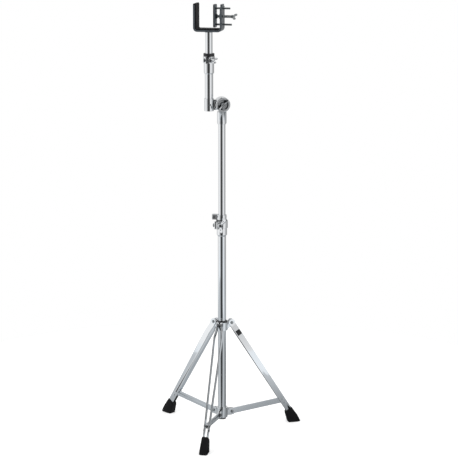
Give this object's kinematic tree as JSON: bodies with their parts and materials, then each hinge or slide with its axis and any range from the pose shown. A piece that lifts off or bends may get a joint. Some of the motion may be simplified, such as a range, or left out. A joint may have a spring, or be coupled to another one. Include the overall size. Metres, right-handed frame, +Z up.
{
  "type": "bongo stand",
  "caption": "Folding tripod stand with a telescoping column, a tilting offset arm and a screw-jaw bracket that grips the block between a pair of bongos.",
  "frame": {"origin": "middle of the stand's plan, on the floor under its feet", "axes": "+Z up along the column, -Y towards the front leg, +X to the jaw screw's side of the bracket"},
  "size_m": [0.4644, 0.4032, 1.3283],
  "materials": {
    "chrome_tube": "bright chrome",
    "chrome_casting": "chromed casting",
    "plated_strip": "satin",
    "screw_steel": "dark satin",
    "dark_paint": "satin",
    "black_nylon": "matte",
    "black_rubber": "matte"
  },
  "bodies": {
    "column": {"base_tube": "chrome_tube", "base_plug": "black_nylon", "lower_hub": "chrome_casting", "base_clamp": "chrome_casting", "base_clamp_bolt": "screw_steel", "hub_pin_front": "screw_steel", "hub_pin_right": "screw_steel", "hub_pin_left": "screw_steel"},
    "base_wing": {"base_clamp_wing": "chrome_casting"},
    "collar": {"leg_collar": "chrome_casting", "collar_sleeve": "black_nylon", "collar_pin_front": "screw_steel", "collar_pin_right": "screw_steel", "collar_pin_left": "screw_steel"},
    "collar_bolt": {"collar_wing_bolt": "chrome_casting"},
    "middle_bushing": {"base_bushing": "black_nylon"},
    "middle": {"middle_tube": "chrome_tube", "tilter_socket": "chrome_casting"},
    "stop_collar": {"stop_lock": "chrome_casting", "stop_lock_screw": "screw_steel"},
    "tilt_arm": {"tilter_arm": "chrome_casting", "tilter_bolt": "screw_steel", "arm_set_screw": "screw_steel", "offset_tube": "chrome_tube", "top_clamp": "chrome_casting", "top_clamp_bolt": "screw_steel"},
    "tilt_wing": {"tilter_wing": "chrome_casting"},
    "top_wing": {"top_clamp_wing": "chrome_casting"},
    "rod_bushing": {"top_bushing": "black_nylon"},
    "bracket_body": {"top_rod": "chrome_tube", "bracket": "dark_paint", "bracket_pad": "black_rubber", "weld_nut": "screw_steel"},
    "jaw": {"jaw_plate": "dark_paint", "jaw_pad": "black_rubber", "guide_pin_upper": "screw_steel", "guide_pin_lower": "screw_steel"},
    "screw": {"jaw_screw": "screw_steel"},
    "leg_front": {"leg_front_strip_a": "chrome_tube", "leg_front_strip_b": "chrome_tube", "foot_front": "black_rubber"},
    "strut_front": {"brace_front": "plated_strip"},
    "leg_right": {"leg_right_strip_a": "chrome_tube", "leg_right_strip_b": "chrome_tube", "foot_right": "black_rubber"},
    "strut_right": {"brace_right": "plated_strip"},
    "leg_left": {"leg_left_strip_a": "chrome_tube", "leg_left_strip_b": "chrome_tube", "foot_left": "black_rubber"},
    "strut_left": {"brace_left": "plated_strip"}
  },
  "joints": [
    {"name": "collar_slide", "type": "slide", "parent": "column", "child": "collar", "axis": [0, 0, 1], "range_m": [0, 0.1795]},
    {"name": "collar_bolt_turn", "type": "hinge", "parent": "collar", "child": "collar_bolt", "pos_m": [0, 0.0863, 0.3333], "axis": [0, 1, 0], "continuous": true},
    {"name": "base_clamp_turn", "type": "hinge", "parent": "column", "child": "base_wing", "pos_m": [-0.00275, 0.0321, 0.65625], "axis": [0.9397, -0.342, 0], "continuous": true},
    {"name": "middle_turn", "type": "hinge", "parent": "column", "child": "middle_bushing", "pos_m": [0, 0.061, 0.6683], "axis": [0, 0, 1], "range_deg": [-180, 45]},
    {"name": "middle_slide", "type": "slide", "parent": "middle_bushing", "child": "middle", "axis": [0, 0, 1], "range_m": [0, 0.2]},
    {"name": "stop_lock_slide", "type": "slide", "parent": "middle", "child": "stop_collar", "axis": [0, 0, 1], "range_m": [0, 0.15]},
    {"name": "tilt", "type": "hinge", "parent": "middle", "child": "tilt_arm", "pos_m": [0, 0.061, 1.0256], "axis": [0.4067, -0.9135, 0], "range_deg": [-90, 20]},
    {"name": "tilter_wing_turn", "type": "hinge", "parent": "tilt_arm", "child": "tilt_wing", "pos_m": [0.00643, 0.04656, 1.0256], "axis": [0.4067, -0.9135, 0], "continuous": true},
    {"name": "top_clamp_turn", "type": "hinge", "parent": "tilt_arm", "child": "top_wing", "pos_m": [-0.02547, 0.01835, 1.1611], "axis": [0.9945, 0.1045, 0], "continuous": true},
    {"name": "top_turn", "type": "hinge", "parent": "tilt_arm", "child": "rod_bushing", "pos_m": [-0.03563, 0.04513, 1.1713], "axis": [0, 0, 1], "continuous": true},
    {"name": "top_slide", "type": "slide", "parent": "rod_bushing", "child": "bracket_body", "axis": [0, 0, 1], "range_m": [-0.06, 0.03]},
    {"name": "jaw_slide", "type": "slide", "parent": "bracket_body", "child": "jaw", "axis": [-1, 0, 0], "range_m": [-0.0051, 0.0201]},
    {"name": "jaw_screw_turn", "type": "hinge", "parent": "jaw", "child": "screw", "pos_m": [0.03397, 0.04513, 1.29], "axis": [-1, 0, 0], "range_deg": [-1440, 5760]},
    {"name": "leg_front_fold", "type": "hinge", "parent": "collar", "child": "leg_front", "pos_m": [0, 0.0315, 0.343], "axis": [1, 0, 0], "range_deg": [0, 20.74]},
    {"name": "brace_front_fold", "type": "hinge", "parent": "column", "child": "strut_front", "pos_m": [0, 0.0297, 0.0537], "axis": [-1, 0, 0], "range_deg": [0, 61.52]},
    {"name": "leg_right_fold", "type": "hinge", "parent": "collar", "child": "leg_right", "pos_m": [0.02555, 0.07575, 0.343], "axis": [-0.5, 0.866, 0], "range_deg": [0, 20.74]},
    {"name": "brace_right_fold", "type": "hinge", "parent": "column", "child": "strut_right", "pos_m": [0.02711, 0.07665, 0.0537], "axis": [0.5, -0.866, 0], "range_deg": [0, 61.52]},
    {"name": "leg_left_fold", "type": "hinge", "parent": "collar", "child": "leg_left", "pos_m": [-0.02555, 0.07575, 0.343], "axis": [-0.5, -0.866, 0], "range_deg": [0, 20.74]},
    {"name": "brace_left_fold", "type": "hinge", "parent": "column", "child": "strut_left", "pos_m": [-0.02711, 0.07665, 0.0537], "axis": [0.5, 0.866, 0], "range_deg": [0, 61.52]}
  ],
  "couplings": [
    {"joint": "jaw_slide", "follows": "jaw_screw_turn", "m_per_rad": 0.00019894},
    {"joint": "leg_front_fold", "follows": "collar_slide", "rad_per_m": 2.0157},
    {"joint": "brace_front_fold", "follows": "collar_slide", "rad_per_m": 5.981},
    {"joint": "leg_right_fold", "follows": "collar_slide", "rad_per_m": 2.0157},
    {"joint": "brace_right_fold", "follows": "collar_slide", "rad_per_m": 5.981},
    {"joint": "leg_left_fold", "follows": "collar_slide", "rad_per_m": 2.0157},
    {"joint": "brace_left_fold", "follows": "collar_slide", "rad_per_m": 5.981}
  ]
}
